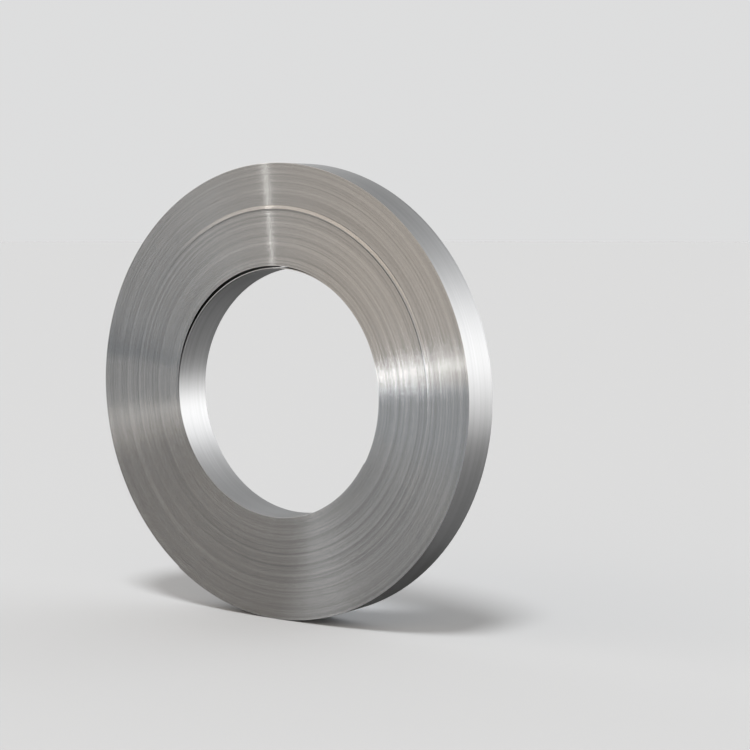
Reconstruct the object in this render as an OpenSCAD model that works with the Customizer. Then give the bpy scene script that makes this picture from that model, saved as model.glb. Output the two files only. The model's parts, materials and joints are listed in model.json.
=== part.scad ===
// Slit steel coil: one narrow strip wound turn on turn around an open bore.
// The coil stands on its rim, as it is parked on the floor. Its axis runs along Y, the end with
// the proud ring faces -Y, and the origin is the point of the floor under the coil's middle.
// Millimetres.

/* [Strip] */
// Width of the slit strip, which is the coil's length along its axis
strip_w = 85; // [30:1:200]
// Thickness of the strip, the build-up that each turn adds
gauge = 1.5; // [1:0.1:3]
// Break on each slit edge, which leaves a fine groove between neighbouring turns
edge_break = 0.2; // [0.1:0.05:0.45]

/* [Winding] */
// Diameter of the open bore, the size of the mandrel that the strip was wound on
bore_d = 508; // [300:1:610]
// Number of turns
turns = 139; // [40:1:220]
// Furthest that the strip wanders sideways from turn to turn
wander = 0.35; // [0:0.05:1]
// Turns in the longest sideways swing of the strip
swing_turns = 26; // [8:1:60]

/* [Proud ring] */
// How far the ring of shifted turns stands out of the near end
ring_h = 1.1; // [0:0.1:4]
// First shifted turn, counted from the bore
ring_turn = 77; // [5:1:130]
// Number of shifted turns
ring_turns = 3; // [1:1:12]

/* [Hidden] */
// Segments of a full circle
$fn = 180;
// Outside radius, which is also the height of the axis over the floor
coil_r = bore_d / 2 + turns * gauge;
// The swings that make up the sideways wander: the length of each as a share of the longest one,
// and its share of the wander
swings = [[1, 0.4], [0.37, 0.35], [0.17, 0.25]];
// Turns over which the strip settles to its true line at the bore and at the rim
settle_turns = 6;

// Radius at which turn i begins
function turn_r(i) = bore_d / 2 + i * gauge;

// 0 at the first and the last turn, 1 over the rest of the build-up
function settle(i) = min(1, i / settle_turns, (turns - 1 - i) / settle_turns);

// Whether turn i belongs to the proud ring
function in_ring(i) = i >= ring_turn && i < ring_turn + ring_turns;

function sum(list, k = 0) = k < len(list) ? list[k] + sum(list, k + 1) : 0;

// Sideways place of turn i: the turns of the proud ring lie flush, and the others wander
function offset_of(i) =
    in_ring(i) ? ring_h
    : settle(i) * wander * sum([for (s = swings) s[1] * sin(360 * i / (s[0] * swing_turns))]);

// One end's outline over turn i: the side is 1 at the near end and -1 at the far end, and each
// groove between two turns goes down from whichever of them is the lower
function turn_outline(i, side) =
    let (
        here = side * (strip_w / 2) + offset_of(i),
        next = side * (strip_w / 2) + offset_of(min(i + 1, turns - 1)),
        groove = (side > 0 ? min(here, next) : max(here, next)) - side * edge_break
    ) [
        [turn_r(i) + edge_break, here],
        [turn_r(i + 1) - edge_break, here],
        [turn_r(i + 1), groove],
    ];

// The whole outline over one end, from the bore to the rim
function end_outline(side) = [
    [turn_r(0), side * (strip_w / 2 - edge_break) + offset_of(0)],
    for (i = [0 : turns - 1]) each turn_outline(i, side),
];

function reversed(list) = [for (i = [len(list) - 1 : -1 : 0]) list[i]];

// The coil: one turned solid, whose ends are stepped by its turns
module steel_coil() {
    color([0.68, 0.69, 0.69])
        translate([0, 0, coil_r])
            rotate([90, 0, 0])
                rotate_extrude()
                    polygon(concat(end_outline(-1), reversed(end_outline(1))));
}

steel_coil();
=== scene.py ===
# %% [markdown]
# # A slit steel coil
# A slitting line cuts a wide sheet into narrow strips and winds each strip, turn on turn, around a
# mandrel. What leaves the mandrel is this coil: a flat ring of bright strip that stands on its rim.
# A textured ring would do from afar, but the light on a coil comes from its turns, so here each turn
# is modelled. The lesson goes from the frame and the camera to the turns, their finishes and the
# light.

# %% [markdown]
# ## The frame
# The packed model comes first, because everything is measured from it.

# %% The frame
import json
import math

import bmesh
import bpy
from mathutils import Matrix, Quaternion, Vector


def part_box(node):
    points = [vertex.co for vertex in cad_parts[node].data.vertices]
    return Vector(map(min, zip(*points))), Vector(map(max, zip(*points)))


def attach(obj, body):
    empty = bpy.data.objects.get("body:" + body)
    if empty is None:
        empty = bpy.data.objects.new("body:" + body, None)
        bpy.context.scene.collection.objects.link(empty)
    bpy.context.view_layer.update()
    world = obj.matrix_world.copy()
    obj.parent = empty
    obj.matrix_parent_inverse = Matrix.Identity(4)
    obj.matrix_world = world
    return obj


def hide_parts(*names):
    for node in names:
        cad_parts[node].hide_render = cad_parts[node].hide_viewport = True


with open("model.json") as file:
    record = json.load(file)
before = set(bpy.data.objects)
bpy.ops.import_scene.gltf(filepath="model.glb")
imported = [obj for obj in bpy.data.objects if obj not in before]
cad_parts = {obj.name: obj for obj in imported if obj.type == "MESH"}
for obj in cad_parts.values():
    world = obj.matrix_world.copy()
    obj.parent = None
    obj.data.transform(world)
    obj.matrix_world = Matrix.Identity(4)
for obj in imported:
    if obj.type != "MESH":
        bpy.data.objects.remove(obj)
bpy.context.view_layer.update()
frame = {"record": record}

# %% [markdown]
# ## The sizes
# The packed model gives the height of the axis, the bore and the rim. The width and the gauge of the
# strip are those that its solid was wound from.
# A solid of revolution has a closed ring for each turn. Here the strip is a true spiral instead, which
# grows by one gauge in each turn, so its start is a step in the bore and its tail a step on the rim.

# %% The sizes
MM = 0.001
bore = next(mount for mount in frame["record"]["mounts"] if mount["name"] == "bore")
AXIS = Vector(bore["pos_m"])
RIM_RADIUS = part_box("steel_coil")[1].x
STRIP_WIDTH = 85 * MM
GAUGE = 1.5 * MM
ROWS = round((RIM_RADIUS - bore["dims"]["r_mm"] * MM) / GAUGE)
# Angles grow clockwise from the top, seen from the near end, and the strip starts at this one
START_ANGLE = math.radians(120)
# Steps in one turn of the spiral, and how many of them the tail lies past the start's angle
STEPS = 176
TAIL_STEPS = 46
TAIL_TURN = ROWS - 1 + TAIL_STEPS / STEPS
# The spiral's radius is set at the floor, where the coil rests on its last turn
FLOOR_TURN = (math.pi - START_ANGLE) / math.tau
FIRST_RADIUS = RIM_RADIUS - (ROWS + FLOOR_TURN) * GAUGE
print("turns:", round(TAIL_TURN, 2), "first radius mm:", round(FIRST_RADIUS / MM, 2))

# %% [markdown]
# ## The camera
# The photograph looks at the near end from its right and a little from above. A long lens keeps the
# ring's ellipses nearly even. The camera is placed by its direction from the coil's middle, and then
# turned a little, so that the coil stands left of the picture's middle as in the photograph.
# A shifted lens could frame it as well, but a turned camera keeps the true perspective.

# %% The camera
# Where it stands: around to the right of the coil's axis, up over its middle, and how far away
VIEW_AZIMUTH = math.radians(37.52)
VIEW_ELEVATION = math.radians(5.28)
VIEW_DISTANCE = 8.305 * RIM_RADIUS
# How far it is turned to the right and up from the coil's middle
PAN = math.radians(-2.67)
TILT = math.radians(0.49)
# Width of its sensor, in millimetres
SENSOR = 36
# The photograph's focal length and its width, both in its own pixels
FOCAL_PIXELS = 1884.4
PICTURE_PIXELS = 750
# How far it sees, in metres, which is well past the edge of the floor
SIGHT = 200


def towards(azimuth, elevation):
    """The direction from the coil to a place seen under these angles."""
    flat = math.cos(elevation)
    return Vector((math.sin(azimuth) * flat, -math.cos(azimuth) * flat, math.sin(elevation)))


def added(name, data):
    """A new object of the scene, which holds this camera, mesh or lamp."""
    made = bpy.data.objects.new(name, data)
    bpy.context.scene.collection.objects.link(made)
    return made


back = towards(VIEW_AZIMUTH, VIEW_ELEVATION)
camera = added("camera", bpy.data.cameras.new("camera"))
camera.data.sensor_width = SENSOR
camera.data.lens = SENSOR * FOCAL_PIXELS / PICTURE_PIXELS
camera.data.clip_end = SIGHT
camera.location = AXIS + back * VIEW_DISTANCE
camera.rotation_mode = "QUATERNION"
pan = Quaternion((0, 0, 1), PAN)
tilt = Quaternion((1, 0, 0), TILT)
camera.rotation_quaternion = pan @ (-back).to_track_quat("-Z", "Y") @ tilt
bpy.context.scene.camera = camera
print("camera:", [round(n, 3) for n in camera.location], "lens mm:", round(camera.data.lens, 1))

# %% [markdown]
# ## The turns that slipped
# A coil that is lifted or lowered hard lets a few turns slip sideways. On this one a ring of three
# turns stands proud at the top, and has pulled the next two out with it over a short way. The two
# turns inside the ring lie sunk on its right, as a dark line.
# Loose rings could be laid on the end, but it is one strip, so each slip is a smooth function of the
# length wound, counted in turns. That keeps the spiral whole.

# %% The turns that slipped
# The ring: how far it stands proud, its first turn, its number of turns, and where it is proudest
RING_HEIGHT = 1.1 * MM
RING_TURN = 77
RING_TURNS = 3
RING_ANGLE = math.radians(10)
# The turns that the ring pulled out with it, and how far as a share of its own height
PULLED = 0.9
PULLED_TURNS = 2
PULLED_ANGLE = math.radians(20)
# How far the turns inside the ring lie sunk, how many they are, and where they lie deepest
SUNK = 1.5 * MM
SUNK_TURNS = 2
SUNK_ANGLE = math.radians(42)
# How much of a slip is left across the coil from it, and how fast it fades towards there
SLIP_LEFT = 0.12
SLIP_FADE = 6


def smooth_step(low, high, value):
    """0 below low, 1 above high, and an even slope with soft ends between them."""
    share = min(1, max(0, (value - low) / (high - low)))
    return share * share * (3 - 2 * share)


def between(first, last, turn):
    """1 from the first to the last of these turns, and 0 elsewhere, with a soft step between."""
    soft = 0.4
    return smooth_step(first - soft, first + soft, turn) - smooth_step(last - soft, last + soft, turn)


def near_angle(turn, angle):
    """1 where the strip passes this angle around the coil, and little on its far side."""
    share = 0.5 + 0.5 * math.cos(START_ANGLE + math.tau * turn - angle)
    return SLIP_LEFT + (1 - SLIP_LEFT) * share**SLIP_FADE


def in_ring(turn):
    """1 on the turns of the proud ring, and 0 elsewhere."""
    return between(RING_TURN, RING_TURN + RING_TURNS, turn)


def slip(turn):
    """How far the turn has slipped out of the near end."""
    ring_end = RING_TURN + RING_TURNS
    proud = in_ring(turn) * near_angle(turn, RING_ANGLE)
    pulled = between(ring_end, ring_end + PULLED_TURNS, turn) * near_angle(turn, PULLED_ANGLE)
    sunk = between(RING_TURN - SUNK_TURNS, RING_TURN, turn) * near_angle(turn, SUNK_ANGLE)
    return RING_HEIGHT * (proud + PULLED * pulled) - SUNK * sunk


# The share of a turn after which the strip passes the coil's top
to_the_top = 1 - START_ANGLE / math.tau
slipped_turns = range(RING_TURN - SUNK_TURNS, RING_TURN + RING_TURNS + PULLED_TURNS)
print("slips at the top mm:", [round(slip(turn + to_the_top) / MM, 2) for turn in slipped_turns])

# %% [markdown]
# ## How the strip's edge wanders
# No slitting line winds quite true, so the strip's edge also swings sideways by a few tenths of a
# millimetre. Those steps draw the fine rings that the eye reads on the end of a coil.
# A noise texture could fake them, but real steps catch the light from every side. Three sine waves
# of unlike length are enough, and near the bore and the rim the strip lies true.

# %% How the strip's edge wanders
# The furthest that the edge swings out, and the turns in its longest swing
WANDER = 0.35 * MM
SWING_TURNS = 26
# The length of each swing as a share of the longest, and its share of the wander
SWINGS = ((1, 0.6), (0.37, 0.28), (0.17, 0.12))
# Turns over which the strip settles to its true line at the bore and at the rim
SETTLE_TURNS = 6


def edge_offset(turn):
    """How far the strip's edge stands out of the near end after so many turns."""
    swing = sum(share * math.sin(math.tau * turn / (SWING_TURNS * size)) for size, share in SWINGS)
    settled = smooth_step(1, SETTLE_TURNS, turn) * smooth_step(1, SETTLE_TURNS, TAIL_TURN - turn)
    return settled * WANDER * swing * (1 - in_ring(turn)) + slip(turn)


offsets = [edge_offset(turn) / MM for turn in range(ROWS)]
print("offsets mm: from", round(min(offsets), 2), "to", round(max(offsets), 2))

# %% [markdown]
# ## One turn's slit edge
# The rotary knives leave each edge rolled over on one side and sharp on the other. Seen from the
# coil's end, every turn is therefore a small rounded bead that leans outward, with a dark line
# between it and the next. These beads are why a coil's end shines in rays: each bead mirrors a lamp
# only where it runs square to the light.
# A bevel on every turn would cost too many faces. Four short faces are enough for a bead, because
# smooth shading rounds them. How far a bead leans changes along the strip, so that no two neighbours
# catch quite the same light.

# %% One turn's slit edge
# The bead from its inner to its outer side: the place across the gauge, the depth under the edge in
# millimetres, and how much of the lean the point takes, in millimetres
BEAD = ((0, 0.5, 0), (0.06, 0.14, 0), (0.22, 0, 0), (0.62, 0.12, 0.07), (1, 0.44, 0))
# The bead's sharp corners: the bottom of the groove, and the top of the dark face beside it
SHARP_POINTS = (0, 1)
# Lengths of the waves in which the lean changes, in turns
LEAN_TURNS = (3.1, 5.3, 2.3)
# The two ends of the coil, as the sign of their place along its axis
NEAR = -1
FAR = 1


def lean(turn):
    """How far the bead leans at this turn, from -1 to 1. The proud ring's beads lean least."""
    waves = [math.sin(math.tau * turn / length) for length in LEAN_TURNS]
    return sum(waves) / len(waves) * (1 - in_ring(turn)) - in_ring(turn)


def edge_place(turn, point, side):
    """A point of the bead at one end of the coil, after so many turns."""
    across, depth, leaning = BEAD[point]
    offset = edge_offset(turn)
    if point in (0, len(BEAD) - 1):
        neighbour = edge_offset(turn - 1 if point == 0 else turn + 1)
        offset = min(offset, neighbour) if side == NEAR else max(offset, neighbour)
    angle = START_ANGLE + math.tau * turn
    radius = FIRST_RADIUS + (turn + across) * GAUGE
    out = side * (STRIP_WIDTH / 2 - (depth + leaning * lean(turn)) * MM) - offset
    return AXIS + Vector((math.sin(angle) * radius, out, math.cos(angle) * radius))


print("depth of a groove mm:", max(depth for _, depth, _ in BEAD))

# %% [markdown]
# ## Finishing a mesh
# Each face picks its finish by its place. Faces that look along the axis are slit edge, the others are
# rolled face, and the face beside a groove is a finish of its own, painted dull and dark as the
# groove's shade. One could paint a mask instead, but a face knows where it looks.
# The beads are shaded smooth. Their corners, and the arris between two finishes, stay sharp.

# %% Finishing a mesh
# The places of the three finishes in each piece's list
SLIT_EDGE = 0
ROLLED_FACE = 1
GROOVE = 2
# A face that looks along the axis by less than this share is rolled face
ARRIS_LEAN = 0.2


def object_from(name, bm):
    """Turns what has been modelled into an object of the scene."""
    mesh = bpy.data.meshes.new(name)
    bm.to_mesh(mesh)
    bm.free()
    return added(name, mesh)


def finished_piece(name, bm):
    """Turns the faces outward, sorts them by finish, marks the sharp edges and makes the object."""
    bmesh.ops.recalc_face_normals(bm, faces=bm.faces)
    mark = bm.verts.layers.int["point"]
    for face in bm.faces:
        face.smooth = True
        face.material_index = ROLLED_FACE if abs(face.normal.y) < ARRIS_LEAN else SLIT_EDGE
        if {vert[mark] for vert in face.verts} == set(SHARP_POINTS):
            face.material_index = GROOVE
    for edge in bm.edges:
        finishes = {face.material_index for face in edge.link_faces}
        start, end = edge.verts
        around = abs(start.co.y - end.co.y) < GAUGE
        corner = around and start[mark] == end[mark] and start[mark] in SHARP_POINTS
        edge.smooth = len(finishes) == 1 and not corner
    open_edges = sum(edge.is_boundary for edge in bm.edges)
    piece = object_from(name, bm)
    triangles = sum(len(face.vertices) - 2 for face in piece.data.polygons)
    print(name, "triangles:", triangles, "open edges:", open_edges)
    return piece


print("finishes: slit edge", SLIT_EDGE, "rolled face", ROLLED_FACE, "groove", GROOVE)

# %% [markdown]
# ## The turns of one end
# Spinning a long row of beads works, but the spin slows down as the mesh grows. A flat grid is made
# at once: its columns are the steps around the coil, and its rows are the points of the beads. Each
# of its points is then wound into its place, as the strip itself was, and the grid's two ends meet
# one turn apart. What lies beyond the tail is cut off while the grid is flat.
# The first two turns and the last one are left out, because they show their face, too, and are
# strips of their own further down.

# %% The turns of one end
# The first turn that belongs to an end, and how many turns do
FIRST_ROW = 2
END_ROWS = ROWS - 1 - FIRST_ROW
# Points of the grid in one bead, since the last point of a bead is the first of the next
POINTS = len(BEAD) - 1
# Half the width of the flat grid, which lies around its own middle
GRID_HALF = 0.5
# Two neighbours that stand apart by more than this have slipped
SLIPPED = GAUGE / 4


def cut_past_tail(bm):
    """Deletes the part of the last turn that lies past the strip's tail."""
    tail = TAIL_STEPS / STEPS - GRID_HALF
    last_row = GRID_HALF - 1 / END_ROWS
    middles = {face: face.calc_center_median() for face in bm.faces}
    past_tail = [face for face, middle in middles.items() if middle.x > tail and middle.y > last_row]
    bmesh.ops.delete(bm, geom=past_tail, context="FACES")


def wind(bm, side):
    """Moves each point of the flat grid to its place on the wound strip, and marks which it is."""
    mark = bm.verts.layers.int["point"]
    for vert in bm.verts:
        around = round((vert.co.x + GRID_HALF) * STEPS) / STEPS
        row, point = divmod(round((vert.co.y + GRID_HALF) * END_ROWS * POINTS), POINTS)
        if row == END_ROWS:
            row, point = END_ROWS - 1, POINTS
        turn = FIRST_ROW + row + around
        # Beside a turn that has slipped, the bead's outer side ends in a sharp corner
        slipped = abs(edge_offset(turn + 1) - edge_offset(turn)) > SLIPPED
        vert[mark] = 0 if slipped and point == POINTS - 1 else point % POINTS
        vert.co = edge_place(turn, point, side)


print("turns of one end:", END_ROWS, "steps around:", STEPS)

# %% [markdown]
# ## Both ends
# A sheet of beads alone has open edges, and a mesh checker asks for a solid. A short lip behind it and
# a plain back close it. They lie inside the coil, where nothing shows them.
# One function winds both ends, since the far end is the same strip seen from its other side.

# %% Both ends
# How deep under the end its back lies
LIP_DEPTH = 2.8 * MM
# Points closer than this are one
SAME_POINT = GAUGE * 0.01


def wound_end(name, side):
    """The turns of the build-up, as one closed shell at one end of the coil."""
    bm = bmesh.new()
    bm.verts.layers.int.new("point")
    bmesh.ops.create_grid(bm, x_segments=STEPS, y_segments=END_ROWS * POINTS, size=GRID_HALF)
    cut_past_tail(bm)
    wind(bm, side)
    bmesh.ops.remove_doubles(bm, verts=bm.verts, dist=SAME_POINT)
    rims = [edge for edge in bm.edges if edge.is_boundary]
    lip = bmesh.ops.extrude_edge_only(bm, edges=rims)["geom"]
    for vert in lip:
        if isinstance(vert, bmesh.types.BMVert):
            vert.co.y = side * (STRIP_WIDTH / 2 - LIP_DEPTH)
    back_rims = [edge for edge in lip if isinstance(edge, bmesh.types.BMEdge) and edge.is_boundary]
    bmesh.ops.bridge_loops(bm, edges=back_rims)
    return finished_piece(name, bm)


near_end = wound_end("near_end_turns", NEAR)
far_end = wound_end("far_end_turns", FAR)

# %% [markdown]
# ## The turns that show their face
# The turns around the bore and the turn on the rim show the strip's bright rolled face, so they are
# modelled as what they are: one length of flat strip, bent round once, with its ends cut square. The
# section of the strip is a face of a few points, which a spin carries once around the axis, one gauge
# further out at the end. A plain tube would hide the steps where the strip starts and ends.
# The cut ends lie where the photograph doesn't look: the start on the bore's right, and the tail
# under the coil's left, held down by its weight.

# %% The turns that show their face


def section_order():
    """The points of the strip's section in turn: up the near edge's bead and down the far one's."""
    near = [(NEAR, point) for point in range(len(BEAD))]
    return near + [(FAR, point) for _, point in reversed(near)]


def bent_strip(first_turn):
    """One turn of flat strip from this turn on."""
    bm = bmesh.new()
    mark = bm.verts.layers.int.new("point")
    section = []
    for side, point in section_order():
        vert = bm.verts.new(edge_place(first_turn, point, side))
        vert[mark] = point % POINTS
        section.append(vert)
    bm.faces.new(section)
    angle = START_ANGLE + math.tau * first_turn
    bmesh.ops.spin(
        bm,
        geom=bm.verts[:] + bm.edges[:] + bm.faces[:],
        cent=AXIS,
        axis=(0, 1, 0),
        dvec=Vector((math.sin(angle), 0, math.cos(angle))) * GAUGE / STEPS,
        angle=math.tau,
        steps=STEPS,
        use_merge=False,
    )
    return bm


second_turn = finished_piece("second_turn", bent_strip(1))
last_turn = finished_piece("last_turn", bent_strip(TAIL_TURN - 1))

# %% [markdown]
# ## The loose first turn
# A coil taken off its mandrel often relaxes at the bore. The first turn hangs away from the others
# at the upper left, and the gap shows as a thin black crescent. A simulation could bend the strip,
# but a sine bump gives the same curve in a few lines, so the turn is pulled inward by one.

# %% The loose first turn
# How far it hangs away from the turn behind it
LOOSE_GAP = 7 * MM
# Where the gap opens and where it closes, as angles from the top
LOOSE_FROM = math.radians(250)
LOOSE_TO = math.radians(400)


def loosen(bm):
    """Pulls the strip inward where it hangs away from the turn behind it."""
    for vert in bm.verts:
        arm = vert.co - AXIS
        angle = math.atan2(arm.x, arm.z) % math.tau
        if angle < LOOSE_TO - math.tau:
            angle += math.tau
        if LOOSE_FROM < angle < LOOSE_TO:
            share = math.sin(math.pi * (angle - LOOSE_FROM) / (LOOSE_TO - LOOSE_FROM)) ** 2
            inward = Vector((-arm.x, 0, -arm.z)).normalized()
            vert.co += inward * LOOSE_GAP * share


bm = bent_strip(0)
loosen(bm)
first_turn = finished_piece("first_turn", bm)
pieces = (near_end, far_end, first_turn, second_turn, last_turn)

# %% [markdown]
# ## A small language for finishes
# A finish is a web of shader nodes. Adding each node by hand hides the idea behind the wiring, so one
# small class wraps a socket, and Python's own + - * / ** on it add the Math nodes.

# %% A small language for finishes


class Wire:
    """One output of a shader node. Arithmetic on it adds Math nodes to the same web."""

    def __init__(self, web, output):
        self.web = web
        self.output = output

    def maths(self, operation, *values):
        """Adds one Math node, with these values in its sockets."""
        return self.web.node("ShaderNodeMath", {"operation": operation}, dict(enumerate(values)))

    def __add__(self, other):
        return self.maths("ADD", self, other)

    def __sub__(self, other):
        return self.maths("SUBTRACT", self, other)

    def __rsub__(self, other):
        return self.maths("SUBTRACT", other, self)

    def __mul__(self, other):
        return self.maths("MULTIPLY", self, other)

    def __truediv__(self, other):
        return self.maths("DIVIDE", self, other)

    def __pow__(self, other):
        return self.maths("POWER", self, other)

    __radd__ = __add__
    __rmul__ = __mul__


print(Wire.__doc__)

# %% [markdown]
# ## Any other node
# A second class is the tree that the wires run in. One method adds any kind of node, from its
# settings and from what goes into its sockets, so a finish reads from top to bottom like a recipe.
# The kinds that several finishes need have short methods of their own.

# %% Any other node


class Web:
    """The node tree of a material or a world."""

    def __init__(self, owner):
        owner.use_nodes = True
        self.tree = owner.node_tree

    def node(self, kind, settings=None, sockets=None, output=0):
        """Adds a node: its settings first, then the values or wires of its sockets."""
        made = self.tree.nodes.new(kind)
        for name, value in (settings or {}).items():
            if name == "stops":
                self.set_stops(made.color_ramp, value)
            else:
                setattr(made, name, value)
        for key, value in (sockets or {}).items():
            self.feed(made.inputs[key], value)
        return Wire(self, made.outputs[output])

    def set_stops(self, ramp, stops):
        """Gives a colour ramp its stops: pairs of a place and a colour."""
        while len(ramp.elements) < len(stops):
            ramp.elements.new(1)
        for element, (place, colour) in zip(ramp.elements, stops):
            element.position = place
            element.color = (*colour, 1)

    def feed(self, socket, value):
        """Links a wire to a socket, or sets the socket's value."""
        if isinstance(value, Wire):
            self.tree.links.new(value.output, socket)
        else:
            socket.default_value = value

    def set(self, shader, **sockets):
        """Feeds the sockets of a shader that is there already, with _ in a name for a space."""
        for name, value in sockets.items():
            self.feed(self.tree.nodes[shader].inputs[name.replace("_", " ")], value)

    def parts(self, vector):
        """The x, y and z of a vector."""
        split = self.node("ShaderNodeSeparateXYZ", {}, {0: vector})
        return [Wire(self, output) for output in split.output.node.outputs]

    def rise(self, value, low, high):
        """0 while the value is under low, 1 when it is over high, and an even rise between them."""
        return self.node("ShaderNodeClamp", {}, {0: (value - low) / (high - low)})

    def mix(self, factor, first, second, blend="MIX"):
        """A colour between two others, or the first with some of the second blended in."""
        colours = [one if isinstance(one, Wire) else (*one, 1) for one in (first, second)]
        # Sockets 6 and 7 are the two colours of this node, and its output 2 is the mixed one
        settings = {"data_type": "RGBA", "blend_type": blend}
        sockets = {"Factor": factor, 6: colours[0], 7: colours[1]}
        return self.node("ShaderNodeMix", settings, sockets, output=2)


print("methods of a web:", [name for name in vars(Web) if not name.startswith("_")])

# %% [markdown]
# ## A place on the coil, for the shaders
# Streaks on a coil run around it. A noise in x, y and z knows nothing of that, so the shaders first
# turn Object coordinates into the distance from the axis and the direction around it. The angle
# itself would leave a seam where it jumps, so the direction goes in as its sine and cosine.

# %% A place on the coil, for the shaders


def coil_place(web):
    """The distance from the axis, the two parts of the direction around it, and the place along it."""
    x, y, z = web.parts(web.node("ShaderNodeTexCoord", output="Object"))
    z = z - AXIS.z
    radius = (x * x + z * z) ** 0.5
    return radius, x / radius, z / radius, y


def streaks(web, lines, direction, reach):
    """A noise of lines around the coil. The further they reach, the slower it changes along them."""
    sine, cosine = direction
    spot = web.node("ShaderNodeCombineXYZ", {}, {0: lines, 1: sine / reach, 2: cosine / reach})
    return web.node("ShaderNodeTexNoise", {}, {"Vector": spot, "Scale": 1, "Detail": 0})


def tone_of(layers, contrast):
    """A tone around 0.5, from pairs of a noise and its share in it."""
    mixed = sum(noise * share for noise, share in layers)
    return (mixed - 0.5) * contrast + 0.5


def describe(material):
    """Prints how large a finish is, and hands it on."""
    print(material.name, "nodes:", len(material.node_tree.nodes))
    return material


print("the shaders measure from the axis, at a height of", round(AXIS.z, 4))

# %% [markdown]
# ## The finish of the slit edges
# A slit edge is half cut and half torn, so it is duller and darker than the rolled face, and it varies
# from turn to turn in long arcs. Three noises of unlike fineness give that. A turned scratch texture
# would look alike all over.
# What stands proud of the end is painted brighter, partly as rubbed steel and partly as a painted
# highlight of the proud ring, so height alone picks that out. All the steel loses some light where the
# eye skims it, which is the specular tint of a metal.

# %% The finish of the slit edges
# How bright the steel is where the eye skims it, as a share of a perfect mirror's edge
EDGE_TINT = (0.35, 0.35, 0.35, 1)
TORN_DARK = (0.151, 0.155, 0.159)
CUT_BRIGHT = (0.263, 0.27, 0.276)
# The proud ring's colour: rubbed steel, and a painted highlight where it stands proud
RUBBED_AND_HIGHLIGHT = (0.335, 0.332, 0.326)
# The painted brightening of the proud ring, rubbing and highlight, begins at the first of these
# shares of the ring's height, and is complete at the second
RUBBED_HIGHLIGHT_FROM = 1 / 3
RUBBED_HIGHLIGHT_TO = 2 / 3
# The lines: their width, how far they reach around the coil, and their share in the tone
TORN_LINES = ((13 * MM, 3, 0.15), (5.6 * MM, 2.4, 0.25), (2.4 * MM, 1.8, 0.6))
TORN_CONTRAST = 1.1
# The least roughness, and how much the tone adds to it
TORN_ROUGHNESS = (0.08, 0.06)


def bare_steel(web, colour, tone, roughness):
    """Sets the shader to bare steel, which is rougher where its tone is higher."""
    least, added_by_tone = roughness
    rough = least + tone * added_by_tone
    web.set("Principled BSDF", Base_Color=colour, Metallic=1, Roughness=rough)
    web.set("Principled BSDF", Specular_Tint=EDGE_TINT)


def slit_edge_finish():
    """Cut and torn steel, in long lines around the coil."""
    material = bpy.data.materials.new("slit_edge")
    web = Web(material)
    radius, sine, cosine, y = coil_place(web)
    layers = [
        (streaks(web, radius / width, (sine, cosine), reach), share)
        for width, reach, share in TORN_LINES
    ]
    tone = tone_of(layers, TORN_CONTRAST)
    # Height picks out the proud ring, which is painted brighter: rubbed steel and a painted highlight
    proud = (-STRIP_WIDTH / 2 - y) / RING_HEIGHT
    rubbed_and_highlight = web.rise(proud, RUBBED_HIGHLIGHT_FROM, RUBBED_HIGHLIGHT_TO)
    colour = web.mix(rubbed_and_highlight, web.mix(tone, TORN_DARK, CUT_BRIGHT), RUBBED_AND_HIGHLIGHT)
    bare_steel(web, colour, tone, TORN_ROUGHNESS)
    return material


slit_edge = describe(slit_edge_finish())

# %% [markdown]
# ## The finish of the rolled face
# The rolls leave a bright, hazy face with faint lines along the strip, which is around the coil. The
# haze is roughness and the lines are a very low bump. Modelled lines would be too fine to see.

# %% The finish of the rolled face
ROLLED_DARK = (0.2, 0.2, 0.2)
ROLLED_BRIGHT = (0.26, 0.26, 0.26)
# The fine grain and the broad bands: their width, and how far they reach around the coil
GRAIN = (2.2 * MM, 0.5)
BANDS = (9 * MM, 1.5)
ROLLED_CONTRAST = 2
ROLLED_ROUGHNESS = (0.35, 0.08)
# The grain's bump: its depth, and how much of it shows
LINE_DEPTH = 0.025 * MM
LINE_STRENGTH = 0.6


def rolled_finish():
    """Bright cold rolled steel, with its grain along the strip."""
    material = bpy.data.materials.new("rolled_face")
    web = Web(material)
    _, sine, cosine, y = coil_place(web)
    grain, bands = (
        streaks(web, y / width, (sine, cosine), reach) for width, reach in (GRAIN, BANDS)
    )
    tone = tone_of(((grain, 0.5), (bands, 0.5)), ROLLED_CONTRAST)
    bare_steel(web, web.mix(tone, ROLLED_DARK, ROLLED_BRIGHT), tone, ROLLED_ROUGHNESS)
    lines = {"Strength": LINE_STRENGTH, "Distance": LINE_DEPTH, "Height": grain}
    web.set("Principled BSDF", Normal=web.node("ShaderNodeBump", {}, lines))
    return material


rolled_face = describe(rolled_finish())

# %% [markdown]
# ## The finish of the grooves
# Between two turns lies a groove that the light barely reaches, with oil and dust in it. Deeper beads
# would shade it themselves, but at this size they would flicker, so the face beside each groove is
# painted dull and dark: painted shade of the groove, and its oil and dust.

# %% The finish of the grooves
# The groove's colour is painted shade, with its oil and dust
GROOVE_SHADE_COLOUR = (0.06, 0.059, 0.056, 1)
GROOVE_ROUGHNESS = 0.5


def groove_shade_finish():
    """The dull foot of each bead, painted dark as the groove's shade."""
    material = bpy.data.materials.new("groove")
    web = Web(material)
    web.set("Principled BSDF", Base_Color=GROOVE_SHADE_COLOUR, Metallic=1, Roughness=GROOVE_ROUGHNESS)
    return material


groove = describe(groove_shade_finish())
for piece in pieces:
    # In the order of SLIT_EDGE, ROLLED_FACE and GROOVE
    for finish in (slit_edge, rolled_face, groove):
        piece.data.materials.append(finish)

# %% [markdown]
# ## The floor
# The picture has no surroundings, so the coil stands on a plain pale floor. It runs so far out that its
# edge meets the room at the horizon, where both have the same tone. A curved backdrop would hide
# the horizon as well, but the walls of the coil mirror the floor behind them, and a flat one keeps
# that mirror image calm.

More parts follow.
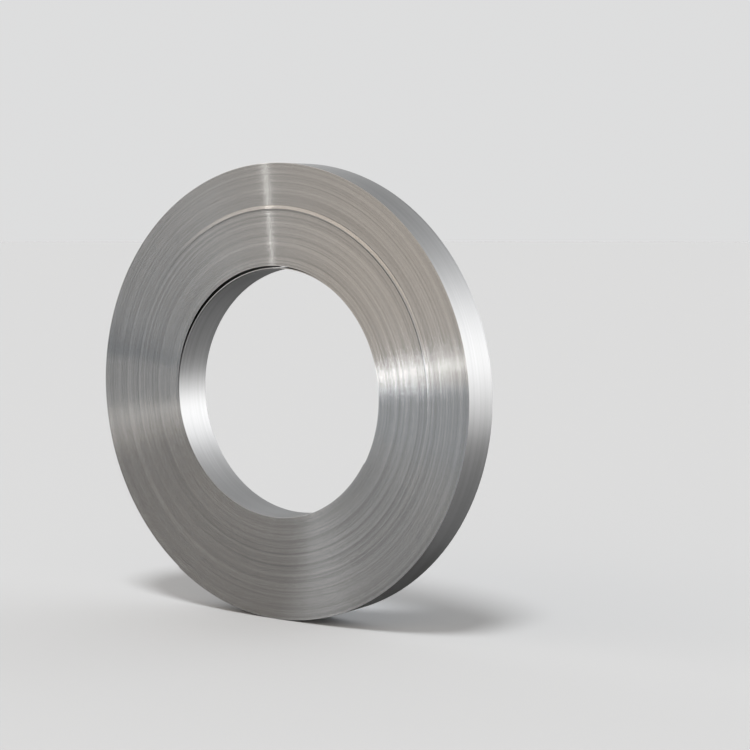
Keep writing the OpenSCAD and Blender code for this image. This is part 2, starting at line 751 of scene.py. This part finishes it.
# %% The floor
FLOOR_RADIUS = 60
FLOOR_SIDES = 96
FLOOR_COLOUR = (0.305, 0.3125, 0.321)


def without_shine(web, colour):
    """Sets the shader to a finish like velvet, which mirrors nothing."""
    web.set("Principled BSDF", Base_Color=colour, Roughness=1, Specular_IOR_Level=0)


def floor_finish():
    """One pale tone all over."""
    material = bpy.data.materials.new("pale_floor")
    without_shine(Web(material), (*FLOOR_COLOUR, 1))
    return material


bm = bmesh.new()
bmesh.ops.create_circle(bm, cap_ends=True, radius=FLOOR_RADIUS, segments=FLOOR_SIDES)
floor = object_from("floor", bm)
floor.data.materials.append(floor_finish())
print("floor:", [round(n, 2) for n in floor.dimensions])

# %% [markdown]
# ## The dark sheet of painted shade
# The lower left of the near end is the darkest part of it, because it mirrors what lies in the shade
# before the coil's foot. A dark floor would spoil the plain picture. So a dark sheet lies there, which
# paints that shade into the mirror images as a painted reflection, as photographers lay a dark card
# beside a shiny object. Only mirror images show it: it is hidden from the camera, throws no shadow and
# takes no light from the floor.

# %% The dark sheet of painted shade
# How far it lies over the floor
SHEET_HEIGHT = 0.2 * MM
# Its colour is painted shade, which only mirror images show
PAINTED_SHADE_COLOUR = (0.08, 0.08, 0.079)
# The mirror image of its first side lies across the foot of the coil, so it fades into the floor's
# colour over this much of its width there
SHEET_FADE = 0.07
# Its outline from above: in front of the coil's left half, and under its foot
SHEET = (
    (0.09, -0.05),
    (-1.555, -2.06),
    (-2.1, -2.06),
    (-2.1, 0.3),
    (0.2, 0.3),
    (0.2, -0.05),
)


def painted_shade_finish():
    """The sheet's colour of painted shade, which fades into the floor's at its first side."""
    material = bpy.data.materials.new("painted_shade_sheet")
    web = Web(material)
    x, y, _ = web.parts(web.node("ShaderNodeTexCoord", output="Object"))
    corner = Vector(SHEET[0])
    along = (Vector(SHEET[1]) - corner).normalized()
    inward = (x - corner.x) * along.y - (y - corner.y) * along.x
    without_shine(web, web.mix(web.rise(inward, 0, SHEET_FADE), FLOOR_COLOUR, PAINTED_SHADE_COLOUR))
    return material


bm = bmesh.new()
bm.faces.new([bm.verts.new((x, y, SHEET_HEIGHT)) for x, y in reversed(SHEET)])
sheet = object_from("painted_shade_sheet", bm)
sheet.data.materials.append(painted_shade_finish())
sheet.visible_camera = False
sheet.visible_diffuse = False
sheet.visible_shadow = False
print("sheet faces up:", sheet.data.polygons[0].normal.z > 0)

# %% [markdown]
# ## The room
# Bare steel shows little but what it mirrors, so the room is built for the mirror. Behind the coil it
# is pale at the horizon and bright above it, for the strip's rolled faces. In front it is bright,
# brighter to the left and warmer to the right, for the slit edges. A picture of a real place around
# the scene would light it too, but it would bring in shapes that a plain studio hasn't got.
# A ramp over the height gives each half. A ramp's colours end at 1, so the levels are stored as
# shares of the room's strength.

# %% The room
ROOM_STRENGTH = 4
# Degrees over the horizon, and the brightness there
BEHIND = (
    (0, 0.76),
    (7, 0.76),
    (12, 2),
    (24, 3.8),
    (29, 2.7),
    (34, 1.4),
    (46, 1.4),
    (60, 0.15),
)
IN_FRONT = ((0, 2.3), (8, 1.7), (48, 1.7), (60, 0.15))
# How warm each part is: the share of red that is added, and of blue that is taken away
WARM_BEHIND = -0.015
WARM_LEFT = 0.1
WARM_RIGHT = 0.15
# How bright the front's right is, as a share of its left, before the gain that grows to the left
DIM_RIGHT = 0.93
LEFT_GAIN = 0.6
# The sideways part of the direction between which the front's left turns into its right
RIGHT_FROM = -0.65
RIGHT_TO = -0.15
# The part of the direction along the axis between which the front turns into the back
BACK_FROM = -0.625
BACK_TO = 0.625


def grey(level, warmth=0.0):
    """A grey that is a little warm, or cool where the warmth is below 0."""
    return (level * (1 + warmth), level, level * (1 - warmth))


def wall(web, height, warmth, levels):
    """A ramp over the sine of the height, from pairs of degrees and brightness."""
    stops = [
        (math.sin(math.radians(up)), grey(level / ROOM_STRENGTH, warmth)) for up, level in levels
    ]
    return web.node("ShaderNodeValToRGB", {"stops": stops}, {0: height})


world = bpy.data.worlds.new("room")
bpy.context.scene.world = world
web = Web(world)
way = web.node("ShaderNodeTexCoord", output="Generated")
sideways, depth, height = web.parts(way)
behind = wall(web, height, WARM_BEHIND, BEHIND)
left = wall(web, height, WARM_LEFT, IN_FRONT)
right = wall(web, height, WARM_RIGHT, [(up, level * DIM_RIGHT) for up, level in IN_FRONT])
in_front = web.mix(web.rise(sideways, RIGHT_FROM, RIGHT_TO), left, right)
share = web.rise(depth, BACK_FROM, BACK_TO)
room = web.mix(share, in_front, behind)
strength = ROOM_STRENGTH * (1 - LEFT_GAIN * sideways * (1 - share))
web.set("Background", Color=room, Strength=strength)
# The plain view, in which a tone on the screen is the tone of the light
bpy.context.scene.view_settings.view_transform = "Standard"
print("heights with a level of their own:", len(BEHIND), "behind,", len(IN_FRONT), "in front")

# %% [markdown]
# ## The window
# The brightest thing that the coil's walls mirror is a window behind it on the right, out of the
# picture. An area lamp would have hard edges in the mirror, so it is a glow of the room itself: it is
# brightest in one direction and fades with the angle from it, as a power of the cosine.

# %% The window
# Its direction, how bright its middle is, and the power
GLOW = (0.568, 0.823, 0.02)
GLOW_LEVEL = 8
GLOW_FOCUS = 22

facing = web.node("ShaderNodeVectorMath", {"operation": "DOT_PRODUCT"}, {0: way, 1: GLOW}, output=1)
glow = facing.maths("MAXIMUM", facing, 0) ** GLOW_FOCUS
lit_room = web.mix(glow, room, grey(GLOW_LEVEL / ROOM_STRENGTH), "ADD")
web.set("Background", Color=lit_room)
half_width = math.degrees(math.acos(0.5 ** (1 / GLOW_FOCUS)))
print("the glow has half its strength", round(half_width, 1), "degrees from its middle")

# %% [markdown]
# ## What the camera sees of the room
# The bright parts of the room are there for the mirror, but from some sides the camera would look
# straight at them. So its own view of the room is one pale tone, the same as the far floor's, and
# the background stays plain from every side. A white room would need none of this, but it would
# leave the steel without any light and shade.

# %% What the camera sees of the room
BACKDROP = grey(0.727, -0.003)

seen = web.node("ShaderNodeLightPath", output="Is Camera Ray")
plain = web.mix(seen, lit_room, BACKDROP)
web.set("Background", Color=plain, Strength=strength + seen * (1 - strength))
print("room nodes:", len(world.node_tree.nodes))

# %% [markdown]
# ## The lamps that make the rays
# A bead mirrors a lamp only where its turn runs square to the light, so a long narrow lamp draws a
# ray across all the turns. The ray is as wide as the lamp, and it lies where the lamp lies around the
# coil. One lamp hangs high on the left for the thin ray at the top. The other crosses the front, and
# draws the broad ray on the right and a fainter one on the left. Painted rays would stay put when the
# camera moves, and these travel as real ones do.

# %% The lamps that make the rays
MIDDLE = (0, 0, 0)
WHITE = (1, 1, 1)
WARM = (1, 0.97, 0.92)
COOL = (0.94, 1, 1.06)
TAN = (1.06, 0.94, 0.82)
# The slope of the front lamp, which puts its rays a little over the coil's middle
FRONT_SLOPE = (1, 0.2, 0.176)


def lamp(name, place, aim, along, size, radiance, colour=WHITE, spread=math.pi):
    """A soft lamp at a place from the coil's middle. Its radiance is how bright its mirror image is.

    A spread under a half turn is a grid on the lamp, which keeps its light on one part of the coil.
    """
    light = bpy.data.lights.new(name, "AREA")
    light.shape = "RECTANGLE"
    light.size, light.size_y = size
    light.spread = spread
    # A lamp whose light is kept narrow needs less power to be as bright
    grid = 1 - spread / 2 / math.tan(spread / 2)
    light.energy = radiance * math.pi * light.size * light.size_y * grid
    light.color = colour
    holder = added(name, light)
    z = (Vector(place) - Vector(aim)).normalized()
    x = Vector(along).cross(z).normalized()
    holder.matrix_world = Matrix((x, z.cross(x), z)).transposed().to_4x4()
    holder.location = AXIS + Vector(place)
    holder.visible_camera = False
    print(name, [round(n, 2) for n in holder.location])


lamp(
    "top_strip",
    place=(-2.41, -1.78, 2.65),
    aim=MIDDLE,
    along=(0, 0.295, 0.204),
    size=(0.07, 1.7),
    radiance=11,
    colour=WARM,
)
lamp(
    "front_strip",
    place=(0.78, -3.92, 0.2),
    aim=MIDDLE,
    along=FRONT_SLOPE,
    size=(0.2, 5),
    radiance=2.3,
    colour=WARM,
)

# %% [markdown]
# ## The lamps with a grid
# The ray on the right is brightest at the bore, and a soft one shows at the foot of the coil. Each
# comes from a small lamp with a grid on it, which lights only that part. Without a grid such a lamp
# would draw its ray on the opposite side, too.

# %% The lamps with a grid
lamp(
    "bore_glow",
    place=(-0.18, -1.37, -0.03),
    aim=(0.28, 0, 0.05),
    along=FRONT_SLOPE,
    size=(0.17, 0.26),
    radiance=48,
    spread=math.radians(11),
)
lamp(
    "foot_glow",
    place=(-0.65, -0.53, 0.01),
    aim=(0.12, 0, -0.35),
    along=(-0.11, 0.36, 0.32),
    size=(0.12, 0.5),
    radiance=5,
    spread=math.radians(30),
)

# %% [markdown]
# ## The boards
# On its right and left the coil mirrors the last of the floor before the horizon, which would leave
# dark wedges there. Low boards out of the picture stand in for the foot of the room's walls: a cool
# one in front, a warm one on the left, and one behind on the right for the rolled faces. A brighter
# floor would do it, too, but it would light the coil's dark side. A grid keeps their light low.

# %% The boards
BOARD_HEIGHT = 0.46
BOARD_GRID = math.radians(55)


def board(name, place, along, length, radiance, colour=WHITE):
    """A low board, which reaches from the floor to the height of the coil's middle."""
    middle = (*place, -BOARD_HEIGHT / 2)
    size = (BOARD_HEIGHT, length)
    lamp(name, middle, MIDDLE, (*along, 0), size, radiance, colour, BOARD_GRID)


board(
    "front_board",
    place=(-0.9, -1.92),
    along=(-1.14, 0.64),
    length=1.05,
    radiance=3,
    colour=COOL,
)
board(
    "left_board",
    place=(-1.89, -0.66),
    along=(-0.62, 1.72),
    length=1.8,
    radiance=3.4,
    colour=TAN,
)
board("right_board", place=(1.28, 1.74), along=(0.79, -0.58), length=1.3, radiance=4)

# %% [markdown]
# ## The light from above
# The room alone would leave the coil floating, so one broad lamp far overhead gives it a soft shadow
# on the floor. A sun lamp does that evenly all over the floor, and its wide angle blurs the shadow.

# %% The light from above
# The direction that it comes from, its brightness on a white floor, and its angle across
OVERHEAD = (0.1, -0.36, 0.93)
OVERHEAD_LEVEL = 1.1
OVERHEAD_ANGLE = math.radians(16)
sun = bpy.data.lights.new("overhead", "SUN")
sun.energy = OVERHEAD_LEVEL * math.pi
sun.angle = OVERHEAD_ANGLE
overhead = added("overhead", sun)
overhead.rotation_mode = "QUATERNION"
overhead.rotation_quaternion = Vector(OVERHEAD).to_track_quat("Z", "Y")
print("overhead light:", OVERHEAD)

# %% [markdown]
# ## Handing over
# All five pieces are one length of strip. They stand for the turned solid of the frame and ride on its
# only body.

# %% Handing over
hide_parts("steel_coil")
for piece in pieces:
    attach(piece, "root")
